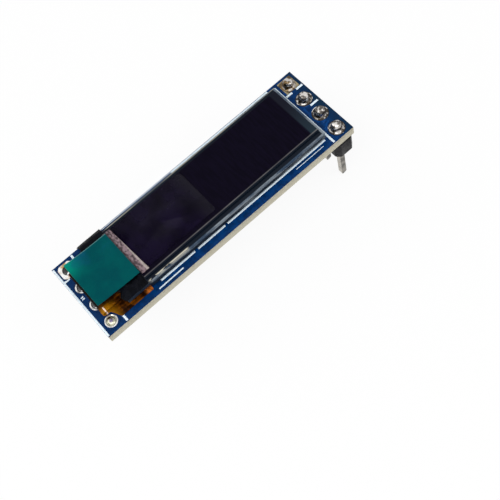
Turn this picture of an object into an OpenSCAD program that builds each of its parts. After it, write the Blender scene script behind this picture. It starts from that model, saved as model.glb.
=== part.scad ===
// Small passive-matrix OLED display module: a bare display panel on a narrow circuit
// board, with a four-way pin header soldered to one end and its driver parts underneath.
// Frame: X runs along the board towards the header, Y across it, Z up out of the screen.
// The origin is the middle of the pin row, level with the underside of the header strip,
// so the board lies above the origin and the pins point down from it.

/* [Board] */
// Length of the board along X
board_l = 33; // [31:0.1:36]
// Width of the board along Y
board_w = 10; // [9.8:0.1:14]
// Thickness of the board
board_t = 1.2; // [0.8:0.1:2]
// Distance from each hole row to the nearer end of the board
row_in = 1.26; // [1.15:0.01:1.3]
// Spacing of the holes and pins in a row
pitch = 2.54; // [2.54:0.01:2.6]
// Finished bore of each plated hole
hole_d = 1; // [0.95:0.05:1.1]
// Wall of the plating inside a hole
plating_t = 0.05; // [0.04:0.01:0.08]
// Diameter of a round pad
pad_d = 1.85; // [1.5:0.05:2.1]
// Side of the square pad that marks way one
square_pad = 1.75; // [1.5:0.05:1.8]
// Thickness of the copper pads
copper_t = 0.04; // [0.03:0.01:0.08]
// Radius of the solder that closes the last spare hole
plug_r = 0.75; // [0.6:0.05:0.8]
// Height of its low dome
plug_h = 0.12; // [0.05:0.01:0.15]

/* [Header] */
// Side of a square pin
pin_sq = 0.64; // [0.5:0.01:0.66]
// Length of a pin below the plastic
pin_free = 6; // [5:0.1:9]
// Length of a pin above the board
pin_stub = 0.75; // [0.5:0.05:1.6]
// Side of the flat on a pin tip
tip_sq = 0.34; // [0.2:0.02:0.5]
// Length of the taper at a pin tip
tip_l = 0.5; // [0.3:0.05:0.8]
// Height of the header plastic with the pad under it
strip_h = 2.54; // [2:0.02:3]
// Depth of the header plastic along X
strip_d = 2.5; // [2.3:0.02:2.52]
// Corner cut between neighbouring header blocks
corner_cut = 0.55; // [0.3:0.05:0.8]
// Bevel round both faces of each header block
strip_bevel = 0.12; // [0.05:0.01:0.2]
// Radius of a solder joint at the pad
joint_r = 0.85; // [0.75:0.05:0.92]
// Radius of its dome above the flared foot
dome_r = 0.62; // [0.56:0.01:0.66]
// Height of a solder joint above the board
joint_h = 0.95; // [0.9:0.05:1.8]

/* [Display panel] */
// Distance from the pin row to the near end of the glass
panel_off = 1.7; // [1.5:0.05:2.5]
// Distance from the far end of the board to the glass
panel_in = 3.74; // [3.5:0.01:4.5]
// Width of both glasses
glass_w = 8; // [7:0.1:8.6]
// Thickness of the front glass
front_t = 0.5; // [0.4:0.05:0.7]
// Thickness of the rear glass
rear_t = 0.5; // [0.4:0.05:0.7]
// Length of the bare ledge that carries the driver chip
ledge_l = 2.85; // [2.7:0.05:3.6]
// Thickness of the foam tape under the panel
foam_t = 0.25; // [0.2:0.05:0.5]
// Set-back of the foam tape from the edge of the glass
foam_in = 0.6; // [0.3:0.1:1.5]
// Gap between the glasses, filled by the seal
seal_t = 0.05; // [0.04:0.01:0.1]
// Width of the seal bead
seal_w = 0.8; // [0.5:0.05:1.1]
// Set-back of the light-emitting layer from the ends of the rear glass
emitter_in = 1.55; // [1.3:0.05:3]
// Width of the light-emitting layer
emitter_w = 5.6; // [3.2:0.1:5.6]
// Set-back of the polarizer from the header end of the glass
polarizer_in = 0.3; // [0.2:0.05:1]
// Width of the polarizer
polarizer_w = 6.9; // [6:0.1:7.6]
// Thickness of the polarizer
polarizer_t = 0.2; // [0.15:0.01:0.3]
// Small set-back of beads and films from the edge beside them
edge_in = 0.1; // [0.05:0.01:0.15]

/* [Film and pull tab] */
// Length of the clear protective film
film_l = 9.9; // [8:0.1:12]
// Width of the protective film
film_w = 6.1; // [5:0.1:6.2]
// Thickness of the film
film_t = 0.05; // [0.03:0.01:0.1]
// Length of the frosted tape that holds the tab
strip_l = 0.8; // [0.5:0.05:1.2]
// Length of the green pull tab
tab_l = 5.15; // [4:0.05:6]
// Width of the green pull tab
tab_w = 5.9; // [4:0.1:6.1]
// Thickness of the pull tab
tab_t = 0.1; // [0.06:0.01:0.2]
// How far the free end of the tab curls up
tab_rise = 0.45; // [0.3:0.05:1]
// Sideways offset of the film and the tab
tab_side = 0.4; // [0:0.05:0.4]

/* [Flex and driver chip] */
// Width of the flex where it folds
flex_w = 6; // [5:0.1:6]
// Width of the flex where it is soldered down
flex_foot_w = 8.4; // [7.4:0.1:8.8]
// Thickness of the flex
flex_t = 0.1; // [0.08:0.01:0.14]
// Length over which the foot widens
shoulder_l = 0.8; // [0.5:0.05:0.8]
// Reach of the fold beyond the end of the glass
flex_reach = 2.75; // [2:0.05:2.8]
// Length of the flex bonded under the ledge
bond_l = 0.9; // [0.6:0.05:1.1]
// Length of the wide soldered foot
foot_l = 4.4; // [3.5:0.1:4.4]
// Number of solder contacts under the foot
contacts = 14; // [8:1:16]
// Width of one contact
contact_w = 0.32; // [0.2:0.01:0.34]
// Length of one contact
contact_l = 1.4; // [0.8:0.1:2]
// Width of the row of contacts
contact_row_w = 6.5; // [5:0.1:6.8]
// Distance from the widening of the foot to the contacts
contact_in = 0.8; // [0.5:0.05:1.2]
// Length of the driver chip along Y
chip_l = 5.6; // [4:0.1:7]
// Width of the driver chip along X
chip_w = 0.95; // [0.6:0.05:1]
// Distance from the rear glass to the driver chip
chip_in = 0.5; // [0.3:0.05:0.8]
// Thickness of the driver chip
chip_t = 0.3; // [0.2:0.01:0.32]
// Length of the black tape over the ledge
ledge_tape_l = 2.85; // [2.5:0.05:3.4]
// Width of the black tape over the ledge
ledge_tape_w = 8.3; // [7:0.1:8.4]

/* [Parts underneath] */
// Length of a chip part over its ends
chip_part_l = 1.6; // [1.4:0.05:1.8]
// Width of a chip part
chip_part_w = 0.8; // [0.7:0.05:0.9]
// Height of a capacitor
cap_h = 0.8; // [0.5:0.05:0.95]
// Height of a resistor
res_h = 0.45; // [0.35:0.05:0.6]
// Rounding of the long edges of a chip part
chip_round = 0.07; // [0.03:0.01:0.12]
// Length of one metal end
end_l = 0.3; // [0.2:0.05:0.4]
// Thickness of the metal over the ceramic
end_t = 0.02; // [0.01:0.01:0.04]
// Width of a pad beyond each side of its part
pad_over = 0.08; // [0.02:0.01:0.12]
// Length of the solder fillet beyond a metal end
fillet_l = 0.35; // [0.2:0.05:0.4]
// Spacing of the parts along a row
part_pitch = 1.52; // [1.45:0.01:1.56]
// Distance from the header row to the row of six parts
row_a_x = 17.15; // [16:0.05:18]
// Offset of its middle across the board
row_a_y = 0.08; // [-0.2:0.02:0.2]
// Distance from the header row to the row of five parts
row_b_x = 10.85; // [10:0.05:12]
// Offset of its middle across the board
row_b_y = 0.61; // [0:0.01:1]
// Distance from the header row to the lone capacitor
single_x = 5.49; // [5.2:0.01:7]
// Offset of the lone capacitor across the board
single_y = 0.2; // [-1:0.05:0.3]
// Length of the diode body
diode_l = 1.7; // [1.5:0.05:1.75]
// Width of the diode body
diode_w = 1.15; // [1:0.05:1.2]
// Height of the diode body
diode_h = 0.9; // [0.7:0.05:1.1]
// Span of the diode over its leads
diode_span = 2.6; // [2.55:0.05:2.7]
// Width of a diode lead
diode_lead_w = 0.35; // [0.25:0.01:0.45]
// Distance from the header row to the regulator
reg_x = 5.84; // [5.7:0.01:7]
// Offset of the regulator across the board
reg_y = 2.98; // [2.8:0.01:3.1]
// Length of the regulator body along Y
reg_l = 2.9; // [2.7:0.05:3]
// Width of the regulator body along X
reg_w = 1.3; // [1.2:0.05:1.4]
// Height of the regulator body
reg_h = 0.95; // [0.8:0.05:1.1]
// Span of the regulator over its leads
reg_span = 2.5; // [2.3:0.05:2.7]
// Width of a regulator lead
lead_w = 0.42; // [0.35:0.01:0.5]
// Spacing of the regulator's two outer leads from its middle
lead_pitch = 0.95; // [0.9:0.01:1]
// Thickness of all bent leads
lead_t = 0.14; // [0.1:0.01:0.18]
// Bend radius of a lead along its middle
lead_bend = 0.1; // [0.08:0.01:0.11]
// Length of the flat foot of a lead
lead_foot = 0.2; // [0.15:0.01:0.22]
// Length of a pad beyond the tip of its lead
pad_toe = 0.3; // [0.15:0.05:0.4]
// Height of a moulded body over its pads
body_gap = 0.06; // [0.03:0.01:0.1]
// Slope of a moulded body from its waist to each face
draft = 0.1; // [0.05:0.01:0.15]

/* [Hidden] */
rows_apart = board_l - 2 * row_in;            // from the header row to the spare row
board_x0 = row_in - board_l;                  // far end of the board
z_under = strip_h;                            // underside of the board
z_top = strip_h + board_t;                    // top face of the board
row_y = [for (i = [0:3]) (i - 1.5) * pitch];  // the four holes of a row, low Y first
bore_r = hole_d / 2;
drill_r = bore_r + plating_t;
cut = 1;                                      // how far a cutter passes through a face

z_rear = z_top + foam_t;                      // underside of the rear glass
z_seal = z_rear + rear_t;                     // top of the rear glass
z_front = z_seal + seal_t;                    // underside of the front glass
z_glass = z_front + front_t;                  // top of the front glass
z_film = z_glass + polarizer_t;               // top of the polarizer
z_tab = z_film + film_t;                      // top of the film
panel_x1 = -panel_off;                        // header end of the panel
panel_x0 = board_x0 + panel_in;               // flex end of the front glass
rear_x0 = panel_x0 + ledge_l;                 // flex end of the rear glass
rear_l = panel_x1 - rear_x0;
pol_x0 = rear_x0 - edge_in;                   // flex end of the polarizer and the film
pol_x1 = panel_x1 - polarizer_in;
film_y = tab_side;
tab_r = (tab_l * tab_l + tab_rise * tab_rise) / (2 * tab_rise);

fold_x = panel_x0 - flex_reach;               // outside of the flex fold
z_foot = z_top + copper_t;                    // underside of the soldered foot
fold_r = (z_front - z_foot) / 2;              // outer radius of the fold
fold_cx = fold_x + fold_r;
foot_x1 = rear_x0 - edge_in;                    // inner end of the soldered foot

z_pads = z_under - copper_t;                  // face of the pads underneath
z_body = z_pads - body_gap;                   // upper face of a moulded body
part_x = chip_part_l / 2;                     // middle of a chip part to its end face
row_a = [for (i = [0:5]) [-row_a_x, row_a_y + (i - 2.5) * part_pitch]];
row_b = [for (i = [0:4]) [-row_b_x, row_b_y + (i - 2) * part_pitch]];
single = [-single_x, single_y];
regulator = [-reg_x, reg_y];

// Colours
c_mask = [0.0, 0.22, 0.48];
c_tin = [0.80, 0.80, 0.78];
c_gold = [0.86, 0.72, 0.45];
c_black = [0.07, 0.07, 0.075];
c_glass = [0.55, 0.62, 0.62];
c_amber = [0.62, 0.34, 0.06];
c_cap = [0.60, 0.44, 0.33];
c_res = [0.10, 0.10, 0.11];

// ---- small helpers -------------------------------------------------------------------

// a block from its low corner
module block(x0, y0, z0, dx, dy, dz) {
  translate([x0, y0, z0]) cube([dx, dy, dz]);
}

// a block centred on Y
module slab(x0, z0, dx, dy, dz, y = 0) {
  block(x0, y - dy / 2, z0, dx, dy, dz);
}

// a profile drawn in X and Z, run along Y
module along_y(y0, dy) {
  translate([0, y0 + dy, 0]) rotate([90, 0, 0]) linear_extrude(dy) children();
}

// a profile drawn in Y and Z, run along X
module along_x(x0, dx) {
  translate([x0, 0, 0]) rotate([90, 0, 90]) linear_extrude(dx) children();
}

// a rectangle with round corners, hanging down from the line z1
module soft_rect(w, h, r, z1) {
  translate([-w / 2, z1 - h]) {
    translate([r, 0]) square([w - 2 * r, h]);
    translate([0, r]) square([w, h - 2 * r]);
    for (u = [r, w - r], v = [r, h - r]) translate([u, v]) circle(r = r);
  }
}

// points of a quarter ellipse that sags between (r0, h) and (r1, 0)
function sag(r0, r1, h, steps) =
  [for (i = [0:steps]) let(a = 90 * i / steps) [r1 - (r1 - r0) * cos(a), h * (1 - sin(a))]];

// outline of a strip of thickness t that follows a path
function unit(v) = v / norm(v);
function across(p, i) =
  let(d = unit(p[min(i + 1, len(p) - 1)] - p[max(i - 1, 0)])) [-d[1], d[0]];
function ribbon(p, t) =
  concat([for (i = [0:len(p) - 1]) p[i] + across(p, i) * t / 2],
         [for (i = [len(p) - 1:-1:0]) p[i] - across(p, i) * t / 2]);
function arc(cx, cz, r, a0, a1, steps) =
  [for (i = [0:steps]) let(a = a0 + (a1 - a0) * i / steps) [cx + r * cos(a), cz + r * sin(a)]];

// ---- board and plated holes ----------------------------------------------------------

module pcb() {
  color(c_mask) difference() {
    slab(board_x0, z_under, board_l, board_w, board_t);
    for (x = [0, -rows_apart], y = row_y)
      translate([x, y, z_under - cut]) cylinder(h = board_t + 2 * cut, r = drill_r);
  }
}

// plated barrel with a pad on each face; way one is square
module eyelet(x, n) {
  y = row_y[4 - n];
  color(c_tin) difference() {
    union() {
      translate([x, y, z_under]) cylinder(h = board_t, r = drill_r);
      for (z = [z_pads, z_top])
        if (n == 1) slab(x - square_pad / 2, z, square_pad, square_pad, copper_t, y);
        else translate([x, y, z]) cylinder(h = copper_t, r = pad_d / 2);
    }
    translate([x, y, z_under - cut]) cylinder(h = board_t + 2 * cut, r = bore_r);
  }
}
module spare_eyelet_1() eyelet(-rows_apart, 1);
module spare_eyelet_2() eyelet(-rows_apart, 2);
module spare_eyelet_3() eyelet(-rows_apart, 3);
module spare_eyelet_4() eyelet(-rows_apart, 4);
module header_eyelet_1() eyelet(0, 1);
module header_eyelet_2() eyelet(0, 2);
module header_eyelet_3() eyelet(0, 3);
module header_eyelet_4() eyelet(0, 4);

// solder that closes the last spare hole, with a low dome on each face
module solder_plug() {
  z0 = z_pads;
  z1 = z_top + copper_t;
  steps = 8;
  dome = [for (i = [0:steps]) let(a = 90 * i / steps) [plug_r * sin(a), plug_h * cos(a)]];
  color(c_tin) translate([-rows_apart, row_y[0], 0]) rotate_extrude()
    polygon(concat([for (i = [0:steps]) [dome[i][0], z0 - dome[i][1]]],
                   [[bore_r, z0], [bore_r, z1]],
                   [for (i = [steps:-1:0]) [dome[i][0], z1 + dome[i][1]]]));
}

// ---- pin header ----------------------------------------------------------------------

// one eight-sided block of the strip, bevelled along both faces, with its square pin hole
module header_block(y) {
  a = strip_d / 2;
  b = pitch / 2;
  c = corner_cut;
  h = strip_h - copper_t;
  translate([0, y, 0]) difference() {
    intersection() {
      linear_extrude(h)
        polygon([[-a, -b + c], [-a + c, -b], [a - c, -b], [a, -b + c],
                 [a, b - c], [a - c, b], [-a + c, b], [-a, b - c]]);
      along_y(-b, pitch) bevelled(strip_d, h);
      along_x(-a, strip_d) bevelled(pitch, h);
    }
    slab(-pin_sq / 2, -cut, pin_sq, pin_sq, strip_h + 2 * cut);
  }
}
module bevelled(w, h) {
  a = w / 2;
  b = strip_bevel;
  polygon([[-a, b], [-a + b, 0], [a - b, 0], [a, b], [a, h - b], [a - b, h], [-a + b, h],
           [-a, h - b]]);
}
module header_strip() {
  color(c_black) for (y = row_y) header_block(y);
}

// the outline of a pin seen from one side, tapered at the free end
module pin_side(z1) {
  a = pin_sq / 2;
  t = tip_sq / 2;
  polygon([[-t, -pin_free], [t, -pin_free], [a, tip_l - pin_free], [a, z1],
           [-a, z1], [-a, tip_l - pin_free]]);
}
module header_pin(n) {
  z1 = z_top + pin_stub;
  y = row_y[4 - n];
  color(c_gold) translate([0, y, 0]) intersection() {
    along_y(-pin_sq, 2 * pin_sq) pin_side(z1);
    rotate([0, 0, 90]) along_y(-pin_sq, 2 * pin_sq) pin_side(z1);
  }
}
module header_pin_1() header_pin(1);
module header_pin_2() header_pin(2);
module header_pin_3() header_pin(3);
module header_pin_4() header_pin(4);

// solder round a pin: it fills the barrel, flares over the pad and closes over the stub
module solder_joint(n) {
  z1 = z_top + copper_t;
  h = joint_h - copper_t;
  steps = 8;
  dome_end = 75;
  dome = [for (i = [0:steps]) let(a = dome_end * i / steps)
          [dome_r * pow(sin(a), 2 / 3), h * pow(cos(a), 2 / 3)]];
  foot = sag(dome_r, joint_r, 0.3 * h, steps);
  color(c_tin) translate([0, row_y[4 - n], 0]) difference() {
    rotate_extrude()
      polygon(concat([[0, z_pads], [bore_r, z_pads], [bore_r, z1]],
                     [for (i = [steps:-1:0]) [foot[i][0], z1 + foot[i][1]]],
                     [for (i = [steps:-1:0]) [dome[i][0], z1 + dome[i][1]]]));
    slab(-pin_sq / 2, z_pads - cut, pin_sq, pin_sq, z_top + pin_stub - z_pads + cut);
  }
}
module solder_joint_1() solder_joint(1);
module solder_joint_2() solder_joint(2);
module solder_joint_3() solder_joint(3);
module solder_joint_4() solder_joint(4);

// ---- display panel -------------------------------------------------------------------

module foam_tape() {
  color([0.12, 0.12, 0.12])
    slab(rear_x0 + foam_in, z_top, rear_l - 2 * foam_in, glass_w - 2 * foam_in, foam_t);
}

module rear_glass() {
  color(c_glass) slab(rear_x0, z_rear, rear_l, glass_w, rear_t);
}

module edge_seal() {
  l = rear_l - 2 * edge_in;
  w = glass_w - 2 * edge_in;
  color([0.45, 0.45, 0.42]) difference() {
    slab(rear_x0 + edge_in, z_seal, l, w, seal_t);
    slab(rear_x0 + edge_in + seal_w, z_seal - cut, l - 2 * seal_w, w - 2 * seal_w,
         seal_t + 2 * cut);
  }
}

module emitter_layer() {
  color([0.05, 0.045, 0.08]) slab(rear_x0 + emitter_in, z_front - seal_t / 2,
                                  rear_l - 2 * emitter_in, emitter_w, seal_t / 2);
}

module front_glass() {
  color(c_glass) slab(panel_x0, z_front, panel_x1 - panel_x0, glass_w, front_t);
}

module polarizer() {
  color([0.06, 0.055, 0.085])
    slab(pol_x0, z_glass, pol_x1 - pol_x0, polarizer_w, polarizer_t);
}

module protective_film() {
  color([0.20, 0.18, 0.24]) slab(pol_x0, z_film, film_l, film_w, film_t, film_y);
}

module frosted_strip() {
  color([0.78, 0.72, 0.74])
    slab(pol_x0, z_tab, strip_l, film_w + 2 * edge_in, film_t, film_y - edge_in);
}

// flexible tab held under the frosted strip's edge, curling up towards its free end
module pull_tab() {
  color([0.0, 0.33, 0.32]) along_y(film_y - tab_w / 2, tab_w) difference() {
    translate([pol_x0, z_tab + tab_r]) circle(r = tab_r);
    translate([pol_x0, z_tab + tab_r]) circle(r = tab_r - tab_t);
    translate([pol_x0, z_tab - cut]) square(2 * (tab_r + cut));
    translate([pol_x0 - tab_r - cut, z_tab - cut])
      square([tab_r + cut - tab_l, 2 * (tab_r + cut)]);
    translate([pol_x0 - tab_r - cut, z_tab + tab_r]) square([tab_r + 2 * cut, tab_r + cut]);
  }
}

module ledge_tape() {
  color(c_black) slab(pol_x0 - edge_in - ledge_tape_l, z_glass, ledge_tape_l, ledge_tape_w,
                      film_t, tab_side / 2);
}

module driver_chip() {
  color([0.20, 0.20, 0.22])
    slab(rear_x0 - chip_in - chip_w, z_front - chip_t, chip_w, chip_l, chip_t);
}

// ---- folded flex ---------------------------------------------------------------------

// bonded under the ledge, folded back on itself and soldered down by a wide foot
module display_flex() {
  foot_x0 = foot_x1 - foot_l;
  color(c_amber) {
    along_y(-flex_w / 2, flex_w) {
      translate([fold_cx, z_front - flex_t])
        square([panel_x0 + bond_l - fold_cx, flex_t]);
      difference() {
        translate([fold_cx, z_foot + fold_r]) circle(r = fold_r);
        translate([fold_cx, z_foot + fold_r]) circle(r = fold_r - flex_t);
        translate([fold_cx, z_foot - cut]) square([fold_r + cut, 2 * (fold_r + cut)]);
      }
    }
    translate([0, 0, z_foot]) linear_extrude(flex_t)
      polygon(concat([[fold_cx, flex_w / 2]], shoulder(foot_x0, 1), [[foot_x1, flex_foot_w / 2]],
                     [[foot_x1, -flex_foot_w / 2]], shoulder(foot_x0, -1),
                     [[fold_cx, -flex_w / 2]]));
  }
}

// smooth step from the fold's width to the foot's; s is 1 on the +Y side, -1 on the other
function shoulder(x, s) =
  let(steps = 12, first = s > 0 ? 0 : steps)
  [for (i = [0:steps]) let(t = abs(first - i) / steps)
   [x + (t - 0.5) * shoulder_l,
    s * (flex_w + (flex_foot_w - flex_w) * (1 - cos(180 * t)) / 2) / 2]];

// copper contacts on the board, in one row under the foot
module flex_contacts() {
  color(c_gold) for (i = [0:contacts - 1])
    slab(foot_x1 - foot_l + contact_in, z_top, contact_l, contact_w, copper_t,
         contact_row_w * (i / (contacts - 1) - 0.5));
}

// ---- parts underneath ----------------------------------------------------------------

// the ceramic between the two metal ends of a chip part
module chip_body(at, h, col) {
  color(col) translate([at[0], at[1], 0]) along_x(end_l - part_x, chip_part_l - 2 * end_l)
    soft_rect(chip_part_w, h, chip_round, z_pads);
}

// two metal ends, each with its pad and the solder that climbs its end face
module chip_ends(at, h) {
  climb = sag(part_x, part_x + fillet_l, 0.75 * h, 6);
  color(c_tin) for (s = [-1, 1]) translate([at[0], at[1], 0]) scale([s, 1, 1]) {
    along_x(part_x - end_l, end_l)
      soft_rect(chip_part_w + 2 * end_t, h + end_t, chip_round, z_pads);
    slab(part_x - end_l, z_pads, end_l + fillet_l, chip_part_w + 2 * pad_over, copper_t);
    along_y(chip_round - chip_part_w / 2, chip_part_w - 2 * chip_round)
      polygon(concat([[part_x, z_pads]], [for (p = climb) [p[0], z_pads - p[1]]]));
  }
}

module capacitor(at) chip_body(at, cap_h, c_cap);
module resistor(at) chip_body(at, res_h, c_res);
module capacitor_1() capacitor(row_a[0]);
module capacitor_2() capacitor(row_a[3]);
module capacitor_3() capacitor(row_a[4]);
module capacitor_4() capacitor(row_a[5]);
module capacitor_5() capacitor(row_b[0]);
module capacitor_6() capacitor(row_b[4]);
module capacitor_7() capacitor(single);
module resistor_1() resistor(row_a[2]);
module resistor_2() resistor(row_b[1]);
module resistor_3() resistor(row_b[2]);
module resistor_4() resistor(row_b[3]);

module row_a_ends() {
  for (i = [0, 3, 4, 5]) chip_ends(row_a[i], cap_h);
  chip_ends(row_a[2], res_h);
}
module row_b_ends() {
  for (i = [0, 4]) chip_ends(row_b[i], cap_h);
  for (i = [1, 2, 3]) chip_ends(row_b[i], res_h);
}
module single_ends() {
  chip_ends(single, cap_h);
}

// moulded body whose four sides slope back from the parting line at its waist
module moulded(at, l, w, h) {
  color(c_black) translate([at[0], at[1], 0]) intersection() {
    along_y(-l / 2, l) waisted(w, h);
    along_x(-w / 2, w) waisted(l, h);
  }
}
module waisted(w, h) {
  a = w / 2;
  waist = [0.45 * h, 0.55 * h];
  polygon([[-a + draft, z_body], [a - draft, z_body], [a, z_body - waist[0]],
           [a, z_body - waist[1]], [a - draft, z_body - h], [-a + draft, z_body - h],
           [-a, z_body - waist[1]], [-a, z_body - waist[0]]]);
}

// lead at +X of a body of height h: out of the waist at x0, round two bends and along its
// pad to the tip at x1
module bent_lead(x0, x1, w, h) {
  zw = z_body - h / 2;
  zf = z_pads - lead_t / 2;
  xb = x1 - lead_foot - lead_bend;
  r = lead_bend;
  path = concat([[x0, zw]], arc(xb - r, zw + r, r, -90, 0, 5),
                arc(xb + r, zf - r, r, 180, 90, 5), [[x1, zf]]);
  along_y(-w / 2, w) polygon(ribbon(path, lead_t));
  slab(xb, z_pads, x1 + pad_toe - xb, w + 0.9 * lead_w, copper_t);
}

module diode_body() moulded(row_a[1], diode_w, diode_l, diode_h);
module diode_leads() {
  at = row_a[1];
  color(c_tin) for (s = [-1, 1]) translate([at[0], at[1], 0]) scale([s, 1, 1])
    bent_lead(diode_l / 2, diode_span / 2, diode_lead_w, diode_h);
}

module regulator_body() moulded(regulator, reg_l, reg_w, reg_h);
module regulator_leads() {
  color(c_tin) for (q = [[1, 0], [-1, -lead_pitch], [-1, lead_pitch]])
    translate([regulator[0], regulator[1] + q[1], 0]) scale([q[0], 1, 1])
      bent_lead(reg_w / 2, reg_span / 2, lead_w, reg_h);
}

// ---- assembly ------------------------------------------------------------------------

pcb();
spare_eyelet_1();
spare_eyelet_2();
spare_eyelet_3();
spare_eyelet_4();
solder_plug();
header_eyelet_1();
header_eyelet_2();
header_eyelet_3();
header_eyelet_4();
header_strip();
header_pin_1();
header_pin_2();
header_pin_3();
header_pin_4();
solder_joint_1();
solder_joint_2();
solder_joint_3();
solder_joint_4();
foam_tape();
rear_glass();
edge_seal();
emitter_layer();
front_glass();
polarizer();
protective_film();
frosted_strip();
pull_tab();
ledge_tape();
driver_chip();
display_flex();
flex_contacts();
capacitor_1();
capacitor_2();
capacitor_3();
capacitor_4();
capacitor_5();
capacitor_6();
capacitor_7();
resistor_1();
resistor_2();
resistor_3();
resistor_4();
row_a_ends();
row_b_ends();
single_ends();
diode_body();
diode_leads();
regulator_body();
regulator_leads();
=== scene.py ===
"""Finishes of a small display module: board, header, display panel, film and chip parts.

Run as a script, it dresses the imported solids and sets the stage. Lengths in the property
groups are in metres; places on the board are given in millimetres from its flex end (u)
and from its near long edge (v), and are turned into metres by spot().
"""

import math

import bmesh
import bpy
from mathutils import Matrix, Vector, noise


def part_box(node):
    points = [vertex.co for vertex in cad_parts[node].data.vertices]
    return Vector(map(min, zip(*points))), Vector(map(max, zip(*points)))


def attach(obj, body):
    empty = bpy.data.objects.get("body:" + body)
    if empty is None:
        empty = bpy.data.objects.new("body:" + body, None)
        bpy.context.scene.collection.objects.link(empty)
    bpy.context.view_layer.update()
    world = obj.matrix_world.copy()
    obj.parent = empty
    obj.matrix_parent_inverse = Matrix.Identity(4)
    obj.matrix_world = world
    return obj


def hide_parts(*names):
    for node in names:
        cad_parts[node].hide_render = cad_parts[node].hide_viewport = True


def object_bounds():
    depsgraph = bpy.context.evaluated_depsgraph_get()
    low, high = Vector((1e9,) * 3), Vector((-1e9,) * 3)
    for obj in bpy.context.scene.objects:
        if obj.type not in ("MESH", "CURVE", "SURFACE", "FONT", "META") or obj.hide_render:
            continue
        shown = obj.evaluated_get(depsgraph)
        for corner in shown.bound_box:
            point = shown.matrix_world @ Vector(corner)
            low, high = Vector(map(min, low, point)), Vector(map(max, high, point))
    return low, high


bl_info = {
    "name": "Display module finishes",
    "version": (1, 0, 0),
    "blender": (4, 5, 0),
    "location": "3D View > Sidebar > Module",
    "description": "Dresses a small display module and sets its stage",
    "category": "Object",
}

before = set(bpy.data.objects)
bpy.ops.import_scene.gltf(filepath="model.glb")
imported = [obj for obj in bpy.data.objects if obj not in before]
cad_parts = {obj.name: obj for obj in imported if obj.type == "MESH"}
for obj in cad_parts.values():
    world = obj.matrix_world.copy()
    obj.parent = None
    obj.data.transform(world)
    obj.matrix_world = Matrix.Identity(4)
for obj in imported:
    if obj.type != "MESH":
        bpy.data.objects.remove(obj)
CAD_LOW, CAD_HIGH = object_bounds()
MM = 0.001
ALONG = Vector((1, 0, 0))
ACROSS = Vector((0, 1, 0))
WAYS = (1, 2, 3, 4)
PAD_RISE = 0.04 * MM  # copper and tin of a pad over the face of the board
CAPACITORS = tuple(f"capacitor_{i}" for i in range(1, 8))
RESISTORS = tuple(f"resistor_{i}" for i in range(1, 5))

# the two rows of parts underneath, in their order across the board
ROW_A = ("capacitor_1", "diode_body", "resistor_1", "capacitor_2", "capacitor_3", "capacitor_4")
ROW_B = ("capacitor_5", "resistor_2", "resistor_3", "resistor_4", "capacitor_6")


# ---- sizes and colours that a user would change ----------------------------------------


def length(name, description, default, low=0.0):
    """A length in metres, shown in the scene's unit."""
    return bpy.props.FloatProperty(
        name=name, description=description, default=default, min=low, unit="LENGTH", precision=5
    )


def turn(name, description, degrees):
    """An angle."""
    return bpy.props.FloatProperty(
        name=name, description=description, default=math.radians(degrees), subtype="ANGLE"
    )


def tint(name, description, default):
    """A linear colour."""
    return bpy.props.FloatVectorProperty(
        name=name, description=description, default=default, subtype="COLOR", min=0.0, max=1.0
    )


def amount(name, description, default):
    """A plain number."""
    return bpy.props.FloatProperty(name=name, description=description, default=default, min=0.0)


class ModuleSizes(bpy.types.PropertyGroup):
    """Sizes of what is printed, soldered or rounded on the module."""

    edge_round: length("Edge rounding", "Rounding of a moulded edge; others follow it", 0.04 * MM)
    ink_width: length("Ink width", "Width of a printed line", 0.24 * MM)
    ink_rise: length("Ink rise", "Height of printed ink over the mask", 0.02 * MM)
    digit_height: length("Digit height", "Height of a printed digit", 0.95 * MM)
    trace_width: length("Trace width", "Width of a copper trace under the mask", 0.22 * MM)
    trace_rise: length("Trace rise", "Height of a trace through the mask", 0.018 * MM)
    via_size: length("Via size", "Outer size of a masked via", 0.5 * MM)
    film_corner: length("Film corner", "Corner radius of the protective film", 0.7 * MM)
    ground_edge: length("Ground edge", "Width of the light ground edge of the glass", 0.12 * MM)
    mound_rise: length("Solder rise", "Height of the solder over a lead's foot", 0.16 * MM)


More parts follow.
